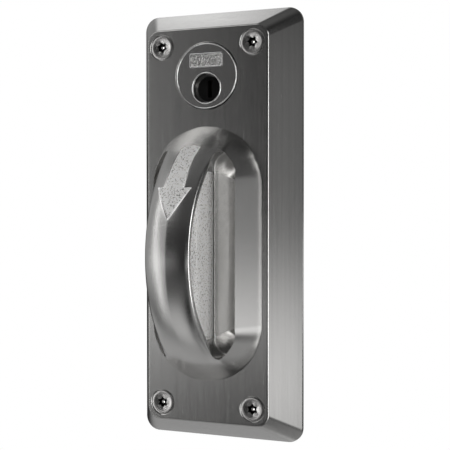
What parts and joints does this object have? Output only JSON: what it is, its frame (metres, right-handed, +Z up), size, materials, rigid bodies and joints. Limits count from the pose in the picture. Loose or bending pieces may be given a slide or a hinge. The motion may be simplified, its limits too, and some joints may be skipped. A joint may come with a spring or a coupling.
{
  "type": "push-down crescent handle lock trim",
  "caption": "Bevelled stainless escutcheon with a push-down crescent handle and a flush key cylinder, outside trim of a mortise lock.",
  "frame": {"origin": "middle of the escutcheon's door face", "axes": "+Z up the door, +Y into the door, front faces -Y, +X to the right seen from the front"},
  "size_m": [0.0878, 0.112, 0.2198],
  "materials": {
    "brushed_cover": "brushed along its height",
    "zinc_plate": "zinc plated",
    "screw_steel": "turned, satin",
    "plain_steel": "plain machined",
    "brushed_handle": "satin, brushed across the grip, with a blasted web and arrow",
    "acetal": "natural white",
    "carriage_steel": "pressed sheet",
    "rack_steel": "sintered, oiled",
    "black_steel": "black oxide",
    "bar_steel": "bright drawn bar",
    "bronze": "sintered bronze",
    "spring_steel": "bright wire",
    "bumper_rubber": "matte",
    "cylinder_face": "satin turned face",
    "tablet_metal": "bright rim round a grained field",
    "plug_black": "black oxide",
    "pin_brass": "turned",
    "cam_steel": "pressed"
  },
  "bodies": {
    "housing": {"escutcheon": "brushed_cover", "back_plate": "zinc_plate", "corner_screws": "screw_steel", "corner_spacers": "plain_steel", "carriage_guides": "zinc_plate", "guide_screws": "plain_steel", "stop_bumpers": "bumper_rubber", "spring_bracket": "zinc_plate", "bracket_screws": "plain_steel", "spring_rods": "plain_steel", "return_springs": "spring_steel", "hub_bush": "bronze", "cylinder_shell": "cylinder_face", "cylinder_collar": "plain_steel", "cylinder_ring_nut": "pin_brass", "cylinder_tablet": "tablet_metal", "driver_pins": "pin_brass", "driver_springs": "spring_steel", "pin_cover": "pin_brass"},
    "handle": {"crescent_handle": "brushed_handle", "wear_pads": "acetal", "handle_carriage": "carriage_steel", "handle_screws": "plain_steel", "carriage_rack": "rack_steel", "rack_screws": "plain_steel"},
    "hub": {"pinion_hub": "rack_steel", "hub_retaining_ring": "black_steel", "spindle": "bar_steel", "spindle_pin": "black_steel"},
    "plug": {"cylinder_plug": "plug_black", "key_pins": "pin_brass", "cylinder_cam": "cam_steel", "cam_screws": "cam_steel"}
  },
  "joints": [
    {"name": "handle_slide", "type": "slide", "parent": "housing", "child": "handle", "axis": [0, 0, -1], "range_m": [0, 0.012], "stiffness_N_per_m": 900, "springref_m": -0.03, "deforming": ["return_springs"]},
    {"name": "hub_turn", "type": "hinge", "parent": "housing", "child": "hub", "pos_m": [0, 0, 0.0129], "axis": [0, 1, 0], "range_deg": [0, 57.4]},
    {"name": "key_turn", "type": "hinge", "parent": "housing", "child": "plug", "pos_m": [0, 0, 0.06875], "axis": [0, 1, 0], "range_deg": [-90, 90]}
  ],
  "couplings": [
    {"joint": "hub_turn", "follows": "handle_slide", "rad_per_m": 83.333}
  ]
}
